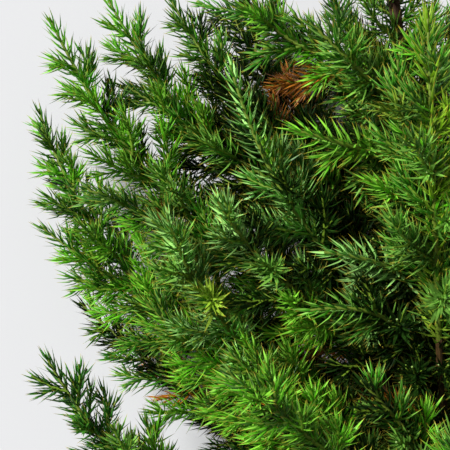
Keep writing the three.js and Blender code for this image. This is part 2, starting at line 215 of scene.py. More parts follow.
# Sprays in the bough's middle under these heights get the darkest tone, painted shade that stands in for
# the shade inside the bough.
PAINTED_SHADE_HEIGHTS = (22, 71)  # sprays are deep under these heights, at the next places and between them
PAINTED_SHADE_HEIGHTS_X = (-25, 10)
ENCLOSED_MIDDLE = (20, 0)
ENCLOSED_REACH = (65, 80)
DRY_HEIGHT = 60
DRY_SHARE = 0.06
INNER_GREEN_SHARE = 0.45
SUNLIT_Y = 46  # inner shoots up the bough from here, and over the next height, are green
SUNLIT_HEIGHT = 54
OPEN_X = -10  # left of here the low shoots stay unbranched, and the floor shows between the sprays

# The view: straight down, upright along the bough, with the plane in focus 420 mm below the lens.
FOCUS_HEIGHT = 60
CAMERA_DISTANCE = 420
VIEW_WIDTH = 144.9
SENSOR_WIDTH = 36
CLIP_START = 0.01
FLOOR_HALF = 12.0

# The pieces: their rings and sides, the swelling of the bark round a bough's foot, the cut's face, how
# far a twig ends short of its shoot's tip, and the least that is left of a short shoot.
STEM_RINGS = 260
STEM_SIDES = 56
BOUGH_RINGS = 36
BOUGH_SIDES = 12
OLD_TWIG_SIDES = 7
YOUNG_TWIG_SIDES = 4
FINE_TWIG_SIDES = 3
KNOT_REACH = 6
KNOT_RISE = 0.5
CUT_RINGS = 8
CUT_SIDES = 40
CUT_SHARE = 0.93
CUT_PROUD = 0.06
CUT_DEPTH = 0.6
TWIG_END = 2.0
LEAST_SHARE = 0.12
LEAST_STEPS = 4

# The needles: how many stand in a whorl and how far each whorl is turned from the last, how late their
# spread closes towards the tip, the least and most of their size and of their width, and the counts.
WHORL_NEEDLES = 3
WHORL_TURN = 62
CLOSING_POWER = 1.6
NEEDLE_SIZES = (0.86, 1.12)
NEEDLE_WIDTHS = (0.3, 1.5)
NEEDLE_TRIANGLES = 10
PIECE_TRIANGLES = 190000
SPARE_WHORLS = 2


@dataclass(frozen=True)
class Habit:
    """How shoots stand on the shoot that bears them, in millimetres and degrees."""

    first: float
    step: float
    shortest: float
    growth: float
    longest: float
    spread: float
    forward: float = 0.45
    turn: float = 137.5


SIDE_HABIT = Habit(first=11, step=5.6, shortest=9, growth=0.24, longest=34, spread=48)
SHORT_HABIT = Habit(first=13, step=4.4, shortest=6, growth=0.08, longest=13, spread=44)
TWIGLET_HABIT = Habit(first=8, step=4.0, shortest=6, growth=0.3, longest=13, spread=42)
LOW_HABIT = Habit(first=24, step=3.6, shortest=10, growth=0.12, longest=24, spread=56)
HANGING_HABIT = Habit(first=10, step=4.4, shortest=18, growth=0.24, longest=36, spread=60)
INNER_HABIT = Habit(first=5, step=4.0, shortest=17, growth=0.12, longest=32, spread=58)
STEM_HABIT = Habit(first=5, step=2.8, shortest=23, growth=0.12, longest=36, spread=58)


@dataclass(frozen=True)
class BarkNoise:
    """How often one kind of bark relief changes round and along the wood, its place and its height."""

    around: float
    along: float
    place: tuple
    height: float

    def at(self, around, along):
        return noise.noise(around * self.around + Vector((*self.place, along * self.along)))


STRIPS = BarkNoise(around=1.0, along=0.035, place=(0, 0), height=0.75)
FIBRES = BarkNoise(around=3.1, along=0.12, place=(7, 3), height=0.3)
FLAKES = BarkNoise(around=1.3, along=0.16, place=(2, 9), height=1.2)
CREVICE_DEPTH = 0.35
RIDGE_SCALE = 4  # strips of bark for each step of the noise from the stem's middle outwards
BOUGH_BARK = BarkNoise(around=2.0, along=0.2, place=(0, 0), height=0.12)
BOUGH_GRAIN_STEP = 200  # how far apart the boughs lie in their shared grain

# The looks: how much slower bark changes along the wood than round it, the share of fine fibres in it,
# the growth rings' wave in radians for each metre, and in metres their drift and the heart's edge.
BARK_STRETCH = 0.07
FIBRE_SHARE = 0.25
RING_WAVES = 9500
RING_DRIFT = 0.0006
HEART_EDGE = (0.0012, 0.0028)
BAND_HALF = 0.72  # the pale band's half width on a needle's face, as a share of the face's


@dataclass(frozen=True)
class Limb:
    """A limb on the stem: its number in the rule, its path, its length and the share that is bare."""

    number: int
    name: str
    path: list
    length: float
    bare: float


@dataclass
class Shoot:
    """A leafy shoot: its path, its radius at foot and tip, the size of its needles and their tone."""

    path: list
    foot_radius: float
    tip_radius: float
    needle_size: float
    tone: str


def chance(limb, shoot, use):
    """A repeatable number from 0 to 1 for one use of one shoot of one limb."""
    n = ((limb * 73856093) ^ (shoot * 19349663) ^ (use * 83492791)) & 0xFFFFFFFF
    n = ((n ^ (n >> 13)) * 1274126177) & 0xFFFFFFFF
    n ^= n >> 16
    return n / 2**32


def mix(a, b, share):
    return a + (b - a) * share


def share_between(value, low, high):
    """How far a value is on its way from one value to another, from 0 to 1."""
    return min(max((value - low) / (high - low), 0), 1)


def scattered(draw):
    """A factor about 1, for a draw from 0 to 1."""
    return 1 - SCATTER / 2 + SCATTER * draw


def pointing(heading, rise):
    flat = math.cos(math.radians(rise))
    heading = math.radians(heading)
    return Vector((flat * math.cos(heading), flat * math.sin(heading), math.sin(math.radians(rise))))


def square_to(direction, reference):
    """Two directions square to a limb's own, the same all along a limb that keeps its reference."""
    side = reference.cross(direction).normalized()
    return side, direction.cross(side)


def reference_for(direction):
    return Vector((0, 0, 1)) if abs(direction.z) < STEEP else Vector((0, 1, 0))


def cubic(a, b, c, d, t):
    rest = 1 - t
    return a * rest**3 + b * (3 * rest * rest * t) + c * (3 * rest * t * t) + d * t**3


def evenly_spaced(a, b, c, d):
    """Points at even distances along a cubic curve."""
    points = [cubic(a, b, c, d, i / ARC_STEPS) for i in range(ARC_STEPS + 1)]
    reached = [0.0]
    for before, after in zip(points, points[1:]):
        reached.append(reached[-1] + (after - before).length)
    path = []
    at = 0
    for i in range(PATH_STEPS + 1):
        wanted = reached[-1] * i / PATH_STEPS
        while at < ARC_STEPS - 1 and reached[at + 1] < wanted:
            at += 1
        share = (wanted - reached[at]) / (reached[at + 1] - reached[at])
        path.append(cubic(a, b, c, d, (at + share) / ARC_STEPS))
    return path


def place_on(path, share):
    """A point and direction on a path of evenly spaced points, at a share of its length."""
    steps = len(path) - 1
    at = min(max(share * steps, 0), steps)
    first = min(int(at), steps - 1)
    return path[first].lerp(path[first + 1], at - first), (path[first + 1] - path[first]).normalized()


def length_of(path):
    return sum((after - before).length for before, after in zip(path, path[1:]))


def direction_at(path, i):
    return (path[min(i + 1, len(path) - 1)] - path[max(i - 1, 0)]).normalized()


def stretch_of(path, start, end, steps):
    """The part of a path between two shares of its length, as a new path."""
    return [place_on(path, mix(start, end, i / steps))[0] for i in range(steps + 1)]


def limb_path(foot, foot_direction, tip, heading, rise):
    reach = (tip - foot).length
    out = ((tip - foot).normalized() + foot_direction * STEM_PULL).normalized()
    leaving = foot + out * reach * FOOT_BEND_SHARE
    arriving = tip - pointing(heading, rise) * reach * TIP_BEND_SHARE
    return evenly_spaced(foot, leaving, arriving, tip)


def bent_path(point, leaving, ending, reach, steps):
    """A side shoot's path: its direction turns evenly from the way it leaves to the way it ends."""
    shares = [i / steps for i in range(steps + 1)]
    return [point + leaving * (reach * (t - t * t / 2)) + ending * (reach * t * t / 2) for t in shares]


def offshoots(path, habit, limb, parent=0, steps=6):
    """The paths of the shoots that stand round a path, longer the further they are from its tip."""
    length = length_of(path)
    reference = reference_for(direction_at(path, len(path) // 2))
    key = parent * OWN_NUMBERS
    paths = []
    i = 0
    while habit.first + i * habit.step < length - BARE_FOOT:
        from_tip = habit.first + i * habit.step
        point, direction = place_on(path, 1 - from_tip / length)
        side, over = square_to(direction, reference)
        turn = math.radians(i * habit.turn + 360 * chance(limb, key, FIRST_TURN)
                            + TURN_SCATTER * chance(limb, key + i, TURN))
        spread = math.radians(habit.spread + SPREAD_SCATTER * (chance(limb, key + i, SPREAD) - 0.5))
        out = (side * math.cos(turn) + over * (math.sin(turn) * FLATNESS)).normalized()
        reach = min(habit.longest, habit.shortest + habit.growth * from_tip)
        reach *= scattered(chance(limb, key + i, REACH))
        bent = spread * habit.forward
        leaving = direction * math.cos(spread) + out * math.sin(spread)
        ending = direction * math.cos(bent) + out * math.sin(bent)
        paths.append(bent_path(point, leaving, ending, reach, steps))
        i += 1
    return paths


def size_at(path):
    """The size of a shoot's needles: smaller on the outer sprays at the left."""
    return mix(*SPRAY_NEEDLES, share_between(path[len(path) // 2].x, *SPRAY_NEEDLES_X))


def is_enclosed(point):
    """Whether a point is in the bough's shaded middle and not among its outer tips."""
    across = (point.x - ENCLOSED_MIDDLE[0]) / ENCLOSED_REACH[0]
    along = (point.y - ENCLOSED_MIDDLE[1]) / ENCLOSED_REACH[1]
    return math.hypot(across, along) < 1


def is_sunlit(point):
    """Whether a point is high on the upper part of the bough, where light reaches in."""
    return point.y > SUNLIT_Y and point.z > SUNLIT_HEIGHT


def patch_tone(limb, number, middle, tones=TONES):
    """The tone of the first patch of these tones that one spray falls to, if any."""
    for use, (tone, place, radius, share) in enumerate(PATCHES, start=PATCH):
        near = (middle.xy - Vector(place)).length < radius
        inside = middle.z < DRY_HEIGHT if tone == "dry" else middle.z > PAINTED_SHADE_HEIGHTS[0]
        if tone in tones and near and inside and chance(limb, number, use) < share:
            return tone
    return None


def tone_of(limb, number, name, path):
    """The tone of one spray: by its limb, then by patch, then painted shade for those deep in the shade,
    else fresh or green.
    """
    middle = path[len(path) // 2]
    draw = chance(limb, number, TONE)
    if name in ROSETTES and (number == 0 or draw < PALE_SHARE):
        return "pale"
    if name in SILVERY_LIMBS and (number == 0 or middle.z > SILVERY_HEIGHT and draw < SILVERY_SHARE):
        return "silvery"
    patch = patch_tone(limb, number, middle)
    if patch:
        return patch
    # Low sprays in the enclosed middle get the darkest tone: painted shade.
    shade = mix(*PAINTED_SHADE_HEIGHTS, share_between(middle.x, *PAINTED_SHADE_HEIGHTS_X))
    standing_out = number == 0 and name in CLEAR_TIPS or is_sunlit(middle)
    if middle.z < shade * scattered(draw) and is_enclosed(middle) and not standing_out:
        return "deep"
    return "fresh" if draw > 1 - FRESH_SHARE and name not in SILVERY_LIMBS else "green"


def inner_tone(limb, number, path):
    """The tone of a low or inner spray: painted shade, but green in the sun and for some at the left, or
    dry.
    """
    middle = path[len(path) // 2]
    draw = chance(limb, number, TONE)
    if draw > 1 - DRY_SHARE and middle.y < SUNLIT_Y or patch_tone(limb, number, middle, ("dry",)):
        return "dry"
    outer = middle.x < OPEN_X and middle.z > PAINTED_SHADE_HEIGHTS[0] and draw < INNER_GREEN_SHARE
    return "green" if outer or is_sunlit(middle) else "deep"


@cache
def stem_path():
    return evenly_spaced(STEM_CUT, STEM_BEND_LOW, STEM_BEND_HIGH, STEM_TOP)


@cache
def limbs():
    """Every limb that stands on the stem, the leader last."""
    grown = []
    for number, (name, foot, tip, heading, rise) in enumerate(BARE_LIMBS + LEAFY_LIMBS + (LEADER,)):
        point, direction = place_on(stem_path(), foot)
        path = limb_path(point, direction, Vector(tip), heading, rise)
        length = length_of(path)
        leafy = min(LEAFY_SHARE * length, LEAFY_MOST) if number < len(BARE_LIMBS) else length
        grown.append(Limb(number, name, path, length, 1 - leafy / length))
    return grown


@cache
def boughs():
    """The bare part of each limb that has one, by name."""
    return {limb.name: stretch_of(limb.path, 0, limb.bare, PATH_STEPS)
            for limb in limbs() if limb.bare}


@cache
def wood():
    """Points along the stem and every limb, with their owner and guard, and a tree to find them."""
    points = [(point, "stem", mix(STEM_CUT_RADIUS, STEM_TOP_RADIUS, i / WOOD_STEPS / GUARD_SHARE))
              for i, point in enumerate(stretch_of(stem_path(), 0, 1, WOOD_STEPS))]
    points += [(point, limb.name, LIMB_RADIUS) for limb in limbs() for point in limb.path]
    tree = kdtree.KDTree(len(points))
    for i, (point, _, _) in enumerate(points):
        tree.insert(point, i)
    tree.balance()
    return points, tree


def has_room(path, name):
    """Whether a shoot keeps off the floor and off the guarded wood of all but what bears it."""
    points, tree = wood()
    for point in path[FOOT_POINTS:]:
        if point.z < FLOOR_CLEARANCE:
            return False
        for _, i, distance in tree.find_range(point, STEM_CUT_RADIUS + LIMB_CLEARANCE):
            if points[i][1] != name and distance < points[i][2] + LIMB_CLEARANCE:
                return False
    return True


def twiglets(path, limb, parent, size, tone):
    """The fine shoots on a shoot, those that keep off the floor."""
    return [Shoot(twiglet, *TWIGLET_RADII, size, tone)
            for twiglet in offshoots(path, TWIGLET_HABIT, limb, parent, steps=4)
            if min(point.z for point in twiglet) > FLOOR_CLEARANCE]


def leafy_shoots(limb):
    """A limb's leafy axis, its side shoots, the short ones between them and the low ones under it."""
    number, name, length = limb.number, limb.name, limb.length
    start = limb.bare + GAP / length if limb.bare else 0
    foot_radius = BOUGH_END_RADIUS if limb.bare else LEAFY_FOOT_RADIUS
    rings = max(AXIS_LEAST_RINGS, round((1 - start) * length / AXIS_RING_STEP))
    bearing = stretch_of(limb.path, start, 1, rings)
    axis = stretch_of(limb.path, max(0, start - TWIG_ROOT / length), 1, PATH_STEPS)
    outer = axis[PATH_STEPS // 2:]
    clear = CLEAR_TIPS.get(name, SIDE_HABIT.first)
    tone = tone_of(number, 0, name, outer)
    shoots = [Shoot(axis, foot_radius, AXIS_TIP_RADIUS, size_at(outer), tone)]
    for i, side in enumerate(offshoots(bearing, replace(SIDE_HABIT, first=clear), number), start=1):
        if has_room(side, name):
            tone = tone_of(number, i, name, side)
            size = size_at(side)
            shoots.append(Shoot(side, *SIDE_RADII, size, tone))
            shoots += twiglets(side, number, i, size * TWIGLET_NEEDLE, tone)
    short_habit = replace(SHORT_HABIT, first=clear + SHORT_HABIT.first - SIDE_HABIT.first)
    shorts = offshoots(bearing, short_habit, number, SHORT_NUMBER, steps=4)
    for i, short in enumerate(shorts, start=SHORT_NUMBER):
        if has_room(short, name):
            tone = tone_of(number, i, name, short)
            shoots.append(Shoot(short, *SHORT_RADII, size_at(short) * SHORT_NEEDLE, tone))
    low_habit = HANGING_HABIT if name in HANGING_LIMBS else LOW_HABIT
    for i, low in enumerate(offshoots(bearing, low_habit, number, LOW_NUMBER), start=LOW_NUMBER):
        if low[-1].z <= low[0].z and has_room(low, name):
            tone = inner_tone(number, i, low)
            shoots.append(Shoot(low, *SHORT_RADII, size_at(low) * SHORT_NEEDLE, tone))
            if low[-1].x > OPEN_X:
                shoots += twiglets(low, number, i + 1, INNER_TWIGLET_NEEDLE, tone)
    return shoots


def inner_shoots(path, number, name):
    """The shaded shoots that stand on bare wood, and their twiglets."""
    shoots = []
    habit = STEM_HABIT if name == "stem" else INNER_HABIT
    for i, inner in enumerate(offshoots(path, habit, number)):
        if has_room(inner, name):
            tone = inner_tone(number, i, inner)
            shoots.append(Shoot(inner, *INNER_RADII, INNER_NEEDLE, tone))
            shoots += twiglets(inner, number, i + 1, INNER_TWIGLET_NEEDLE, tone)
    return shoots


@cache
def all_shoots():
    shoots = [shoot for limb in limbs() for shoot in leafy_shoots(limb)]
    bare = {"stem": stretch_of(stem_path(), BARE_STEM, 1, PATH_STEPS), **boughs()}
    for number, (name, path) in enumerate(bare.items(), start=BARE_NUMBER):
        shoots += inner_shoots(path, number, name)
    return shoots


def placed(point):
    """A point of the growth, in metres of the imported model's frame."""
    return Vector(point) * MM + CUT_AT - STEM_CUT * MM


def linear(red, green, blue):
    """A colour picked on screen, 0 to 255, as the plain light values that shaders use."""
    return tuple(((c / 255 + 0.055) / 1.055) ** 2.4 if c > 10 else c / 255 / 12.92
                 for c in (red, green, blue))


def length_setting(name, description, millimetres):
    return FloatProperty(name=name, description=description, default=millimetres * MM,
                         min=0, unit="LENGTH", precision=5)


def angle_setting(name, description, degrees):
    return FloatProperty(name=name, description=description, default=math.radians(degrees),
                         subtype="ANGLE")


def factor_setting(name, description, default, most=1):
    return FloatProperty(name=name, description=description, default=default,
                         min=0, max=most, subtype="FACTOR")


def colour_setting(name, description, red, green, blue):
    return FloatVectorProperty(name=name, description=description, default=linear(red, green, blue),
                               min=0, max=1, size=3, subtype="COLOR")


class JuniperBark(bpy.types.PropertyGroup):
    """The stem's and the boughs' bark, and the cut."""

    relief: length_setting("Relief", "Height of the stem's bark ridges at the cut", 0.45)
    ridges: IntProperty(name="Ridges", description="Bark strips round the stem", default=11, min=3)
    bark: colour_setting("Bark", "Weathered outside of the bark", 74, 54, 38)
    crevice: colour_setting("Crevice", "Red-brown inner bark in its crevices", 46, 28, 18)
    young_bark: colour_setting("Young bark", "Smoother bark of the boughs", 88, 66, 34)
    wood: colour_setting("Wood", "Fresh wood of the cut", 214, 178, 128)
    heart: colour_setting("Heartwood", "Middle of the cut", 176, 112, 76)


class JuniperNeedles(bpy.types.PropertyGroup):
    """The needles' size and how they stand on a shoot."""

    length: length_setting("Length", "A full grown needle", 9.4)
    width: length_setting("Width", "Its widest place", 1.04)
    thickness: length_setting("Thickness", "From its flat face to its keel", 0.42)
    arch: length_setting("Arch", "How far its middle bows out from the shoot", 0.5)
    whorl_step: length_setting("Whorl step", "From one whorl of three to the next", 1.6)
    tip_reach: length_setting("Tip reach", "Last whorl's distance from the shoot's tip", 4.6)
    spread_low: angle_setting("Spread", "Needle's angle to an old part of the shoot", 50)
    spread_tip: angle_setting("Tip spread", "Needle's angle to the shoot at its tip", 15)
    taper: length_setting("Taper", "Stretch at a shoot's tip over which its needles close up", 15)
    wobble: angle_setting("Wobble", "Most that a needle strays from its place", 9)
    tip_length: factor_setting("Tip length", "Length left to the needles at the tip", 0.7)
    gloss: factor_setting("Gloss", "How strongly needles shine", 0.36)
    deep_gloss: factor_setting("Deep gloss", "How strongly shaded needles shine", 0.12)
    seed: IntProperty(name="Seed", description="Seed of the needles' small differences", default=7)


class JuniperColours(bpy.types.PropertyGroup):
    """The colours of the needles' points and of the twigs, and below them those of each tone."""

    point: colour_setting("Point", "Sharp tip of a green needle", 168, 146, 40)
    # The points of the darkest tone's needles are darker as well: painted shade.
    deep_point: colour_setting("Deep point", "Sharp tip of a shaded needle", 74, 66, 16)
    dry_point: colour_setting("Dry point", "Sharp tip of a dead needle", 120, 72, 30)
    twig: colour_setting("Twig", "Green skin of a young twig", 116, 150, 34)
    old_twig: colour_setting("Old twig", "Olive skin of an older twig", 112, 134, 36)


JuniperColours.__annotations__.update(
    (f"{tone}_{side}", colour_setting(f"{tone.capitalize()} {side}", sprays, *colour))
    for tone, (sprays, *colours) in TONES.items()
    for side, colour in zip(("back", "face"), colours))


class JuniperStage(bpy.types.PropertyGroup):
    """The floor and the light."""

    floor: colour_setting("Floor", "Pale floor", 199, 199, 201)
    sky: factor_setting("Surround", "Strength of the even light all round", 0.26, most=10)
    key: factor_setting("Key light", "Strength of the soft light from the left", 5.8, most=100)
    softness: angle_setting("Softness", "How wide the key light looks from the bough", 16)
    height: angle_setting("Height", "How high the key light stands over the floor", 42)
    heading: angle_setting("Heading", "Where the key light stands, from the right anticlockwise", 150)


def settings_in(group):
    """The names and labels of a group's settings."""
    return {setting.identifier: setting.name for setting in group.bl_rna.properties
            if setting.identifier not in ("rna_type", "name")}


def find_socket(sockets, key):
    """A socket by its place, its name or its identifier, where several share a name."""
    if isinstance(key, int):
        return sockets[key]
    return next(socket for socket in sockets if key in (socket.identifier, socket.name))


def out_of(node, output=0):
    """A node's output, by its place, name or identifier, as a wire."""
    return Wire(node.id_data, find_socket(node.outputs, output))


class Wire:
    """A number, vector or colour on its way between nodes. Sums of it add Math nodes."""

    def __init__(self, tree, socket):
        self.tree = tree
        self.socket = socket

    def math(self, operation, *values, order=1):
        inputs = (self, *values)[::order]
        return out_of(add_node(self.tree, "ShaderNodeMath", {"operation": operation},
                               dict(enumerate(inputs))))

    def __add__(self, other):
        return self.math("ADD", other)

    def __sub__(self, other):
        return self.math("SUBTRACT", other)

    def __rsub__(self, other):
        return self.math("SUBTRACT", other, order=-1)

    def __mul__(self, other):
        return self.math("MULTIPLY", other)

    def __pow__(self, other):
        return self.math("POWER", other)

    def __gt__(self, other):
        return self.math("GREATER_THAN", other)

    __radd__ = __add__
    __rmul__ = __mul__


def add_node(tree, kind, settings=None, inputs=None):
    """A new node: its settings are made first, then its sockets get their values or links."""
    node = tree.nodes.new(kind)
    for name, value in (settings or {}).items():
        setattr(node, name, value)
    for name, value in (inputs or {}).items():
        socket = find_socket(node.inputs, name)
        if isinstance(value, Wire):
            tree.links.new(value.socket, socket)
        else:
            socket.default_value = value
    return node


def mixed(factor, a, b):
    """A colour between two colours, each a wire or plain values."""
    a, b = (colour if isinstance(colour, Wire) else (*colour, 1) for colour in (a, b))
    return out_of(add_node(factor.tree, "ShaderNodeMix", {"data_type": "RGBA"}, {
        "Factor_Float": factor, "A_Color": a, "B_Color": b}), "Result_Color")


def vectors(operation, a, b, output=0):
    """A Vector Math node on two vectors, or on a vector and a number to scale it by."""
    tree = a.tree if isinstance(a, Wire) else b.tree
    second = 3 if operation == "SCALE" else 1
    return out_of(add_node(tree, "ShaderNodeVectorMath", {"operation": operation}, {0: a, second: b}),
                  output)


def new_material(name, roughness, specular=0.5):
    """A material with one surface shader, and that shader."""
    material = bpy.data.materials.new(name)
    material.use_nodes = True
    shader = material.node_tree.nodes["Principled BSDF"]
    shader.inputs["Roughness"].default_value = roughness
    shader.inputs["Specular IOR Level"].default_value = specular
    return material, shader


def feed(shader, name, wire):
    shader.id_data.links.new(wire.socket, shader.inputs[name])


def add_bump(shader, height, strength, distance):
    bump = add_node(shader.id_data, "ShaderNodeBump", None, {
        "Strength": strength, "Distance": distance, "Height": height})
    feed(shader, "Normal", out_of(bump))


def stored(tree, name):
    """What a mesh stores under a name. Its grain is the place across and along a limb, in metres."""
    return out_of(add_node(tree, "ShaderNodeAttribute", {"attribute_name": name}), "Vector")


def own_place(tree):
    return out_of(add_node(tree, "ShaderNodeTexCoord"), "Object")


def mottle(place, scale, detail=2.0, roughness=0.5):
    """Soft noise over a place, from 0 to 1."""
    return out_of(add_node(place.tree, "ShaderNodeTexNoise", None, {
        "Vector": place, "Scale": scale, "Detail": detail, "Roughness": roughness}))


def ramp(value, start, end):
    """How far a wire's value is on its way from one value to another, from 0 to 1."""
    return out_of(add_node(value.tree, "ShaderNodeMapRange", None, {
        "Value": value, "From Min": start, "From Max": end}))


def shade_of(colour, share):
    return tuple(min(1, c * share) for c in colour)


def bark_material(name, outside, inside, strips, depth):
    """Fibrous bark: long strips with red-brown crevices between them."""
    material, shader = new_material(name, roughness=0.85, specular=0.25)
    grain = stored(material.node_tree, "grain")
    stretched = vectors("MULTIPLY", grain, (1, 1, BARK_STRETCH))
    strip = mottle(stretched, scale=strips, detail=6.0, roughness=0.62)
    fibre = mottle(stretched, scale=strips * 4, detail=3.0)
    mask = ramp(strip * (1 - FIBRE_SHARE) + fibre * FIBRE_SHARE, start=0.4, end=0.6)
    worn = mixed(mottle(grain, scale=strips * 0.3), outside, shade_of(outside, 1.35))
    feed(shader, "Base Color", mixed(mask, inside, worn))
    feed(shader, "Roughness", 0.95 - mask * 0.2)
    add_bump(shader, mask + fibre * 0.5, strength=0.7, distance=depth)
    return material


def cut_material(name, wood_colour, heart):
    """End grain: growth rings round the pith, its heart darker."""
    material, shader = new_material(name, roughness=0.7, specular=0.3)
    grain = stored(material.node_tree, "grain")
    distance = vectors("LENGTH", grain, (0, 0, 0), "Value")
    drift = mottle(grain, scale=300.0)
    rings = ((distance + drift * RING_DRIFT) * RING_WAVES).math("SINE") * 0.5 + 0.5
    base = mixed(ramp(distance, *HEART_EDGE), heart, wood_colour)
    feed(shader, "Base Color", mixed(rings * 0.55, base, shade_of(wood_colour, 0.62)))
    add_bump(shader, rings + drift, strength=0.4, distance=0.0001)
    return material


def twig_material(name, colour):
    """Skin of a twig, ribbed by the bases of its needles."""
    material, shader = new_material(name, roughness=0.55)
    ribs = mottle(own_place(material.node_tree), scale=900.0)
    feed(shader, "Base Color", mixed(ribs, shade_of(colour, 0.6), colour))
    add_bump(shader, ribs, strength=0.5, distance=0.0002)
    return material


def needle_material(name, back, face, point, gloss):
    """Green back and edges, a paler band along the face, a dry sharp point, painted shade at the foot;
    no two sprays alike, by ripeness and painted light and shade.
    """
    material, shader = new_material(name, roughness=0.42, specular=gloss)
    tree = material.node_tree
    # The mottle is partly ripeness that differs at random and partly painted light and shade: patches
    # about a spray across, some lighter as if lit, some darker as if shaded.
    ripeness_and_painted_light = ramp(mottle(own_place(tree), scale=65.0, detail=1.0), start=0.36, end=0.64)
    parts = add_node(tree, "ShaderNodeSeparateXYZ", None, {0: stored(tree, "shape")})
    across, keel, along = (out_of(parts, axis) for axis in range(3))
    on_face = keel.math("LESS_THAN", 0.25 + along * 0.25)
    band = on_face * across.math("ABSOLUTE").math("LESS_THAN", BAND_HALF)
    tip = ramp(along, start=0.74, end=0.92)
    # Painted shade: each needle darkens towards its foot by the shoot's axis, where the needles crowd,
    # to a dull darker back that is also the dark end of the mottle.
    foot = ramp(along, start=0.25, end=0.0)
    old = shade_of(back, 0.55)
    green = mixed(ripeness_and_painted_light, old, shade_of(back, 1.5))
    bloom = mixed(ripeness_and_painted_light, shade_of(face, 0.7), shade_of(face, 1.4))
    skin = mixed(foot * 0.6, mixed(band, green, bloom), old)
    feed(shader, "Base Color", mixed(tip, skin, point))
    feed(shader, "Roughness", 0.4 + band * 0.25)
    return material


def linked(name, data):
    """A new object in the scene, at the origin."""
    thing = bpy.data.objects.new(name, data)
    bpy.context.scene.collection.objects.link(thing)
    return thing


def piece_from(name, vertices, faces, material, smooth=True):
    """A new object of one material, its place in its mesh, in metres."""
    mesh = bpy.data.meshes.new(name)
    mesh.from_pydata([tuple(v) for v in vertices], [], faces)
    mesh.validate()
    mesh.materials.append(material)
    mesh.polygons.foreach_set("use_smooth", [smooth] * len(mesh.polygons))
    return linked(name, mesh)


def wood_piece(name, vertices, faces, grain, material, smooth=True):
    """A new object from places in millimetres, whose mesh stores the grain for its material."""
    piece = piece_from(name, [v * MM for v in vertices], faces, material, smooth)
    layer = piece.data.attributes.new("grain", "FLOAT_VECTOR", "POINT")
    layer.data.foreach_set("vector", [c * MM for point in grain for c in point])
    return piece


def nodes_like(start):
    return [name for name in frame["nodes"] if name.startswith(start)]


def finish_piece(piece, replaced):
    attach(piece, "root")
    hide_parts(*replaced)


def band_faces(rings, sides, first=0):
    """The faces between rings of vertices that follow each other."""
    faces = []
    for ring in range(rings):
        for k in range(sides):
            a, b = first + ring * sides + k, first + ring * sides + (k + 1) % sides
            faces.append((a, b, b + sides, a + sides))
    return faces


def tube(path, radii, sides, relief):
    """Vertices, faces and grain of a closed tube round a path. relief adds to the radius."""
    reference = reference_for(direction_at(path, len(path) // 2))
    vertices = []
    grain = []
    along = 0.0
    last = len(path) - 1
    for ring, centre in enumerate(path):
        along += (centre - path[ring - 1]).length if ring else 0
        side, over = square_to(direction_at(path, ring), reference)
        radius = mix(*radii, ring / last)
        for k in range(sides):
            turn = 2 * math.pi * k / sides
            out = side * math.cos(turn) + over * math.sin(turn)
            vertices.append(centre + out * (radius + relief(turn, along, radius)))
            grain.append(Vector((math.cos(turn) * radius, math.sin(turn) * radius, along)))
    faces = band_faces(last, sides)
    faces.append(tuple(reversed(range(sides))))
    faces.append(tuple(range(last * sides, (last + 1) * sides)))
    return vertices, faces, grain


def shoot_curves(name, shoots, ends_short, needles=False):
    """One curve object with a spline for each shoot, whose radius is the twig's or the needles' size."""
    data = bpy.data.curves.new(name, "CURVE")
    data.dimensions = "3D"
    for shoot in shoots:
        share = max(LEAST_SHARE, 1 - ends_short / length_of(shoot.path))
        path = stretch_of(shoot.path, 0, share, max(LEAST_STEPS, len(shoot.path) - 1))
        spline = data.splines.new("POLY")
        spline.points.add(len(path) - 1)
        coordinates = []
        radii = []
        for i, point in enumerate(path):
            coordinates += [*placed(point), 1]
            along = share * i / (len(path) - 1)
            radii.append(shoot.needle_size if needles
                         else mix(shoot.foot_radius, shoot.tip_radius, along) * MM)
        spline.points.foreach_set("co", coordinates)
        spline.points.foreach_set("radius", radii)
    return linked(name, data)


def new_tree(name, sockets):
    """A Geometry Nodes tree with its inputs, and those inputs' wires by name."""
    tree = bpy.data.node_groups.new(name, "GeometryNodeTree")
    tree.interface.new_socket("Geometry", in_out="INPUT", socket_type="NodeSocketGeometry")
    tree.interface.new_socket("Geometry", in_out="OUTPUT", socket_type="NodeSocketGeometry")
    for socket, kind in sockets.items():
        tree.interface.new_socket(socket, in_out="INPUT", socket_type="NodeSocket" + kind)
    entry = tree.nodes.new("NodeGroupInput")
    return tree, {s.name: Wire(tree, s) for s in entry.outputs if s.name}


def finish_tree(tree, geometry, skin):
    """Ends a tree in real geometry of one material."""
    real = add_node(tree, "GeometryNodeRealizeInstances", None, {"Geometry": geometry})
    dressed = add_node(tree, "GeometryNodeSetMaterial", None, {
        "Geometry": out_of(real), "Material": skin})
    tree.links.new(out_of(dressed).socket, tree.nodes.new("NodeGroupOutput").inputs[0])
    return tree


def applied(curves, tree, values, name):
    """The plain mesh that a tree makes of a curve object, which is then removed."""
    modifier = curves.modifiers.new(tree.name, "NODES")
    modifier.node_group = tree
    for item in tree.interface.items_tree:
        if item.in_out == "INPUT" and item.name in values:
            modifier[item.identifier] = values[item.name]
    graph = bpy.context.evaluated_depsgraph_get()
    mesh = bpy.data.meshes.new_from_object(curves.evaluated_get(graph), depsgraph=graph)
    curves.modifiers.remove(modifier)
    bpy.data.objects.remove(curves)
    mesh.name = name
    if mesh.materials[0] is None:
        mesh.materials.pop(index=0)
    return linked(name, mesh)


def turned(a, b, angle):
    """A vector turned by an angle from one vector towards another that is square to it."""
    return vectors("ADD", vectors("SCALE", a, angle.math("COSINE")),
                   vectors("SCALE", b, angle.math("SINE")))


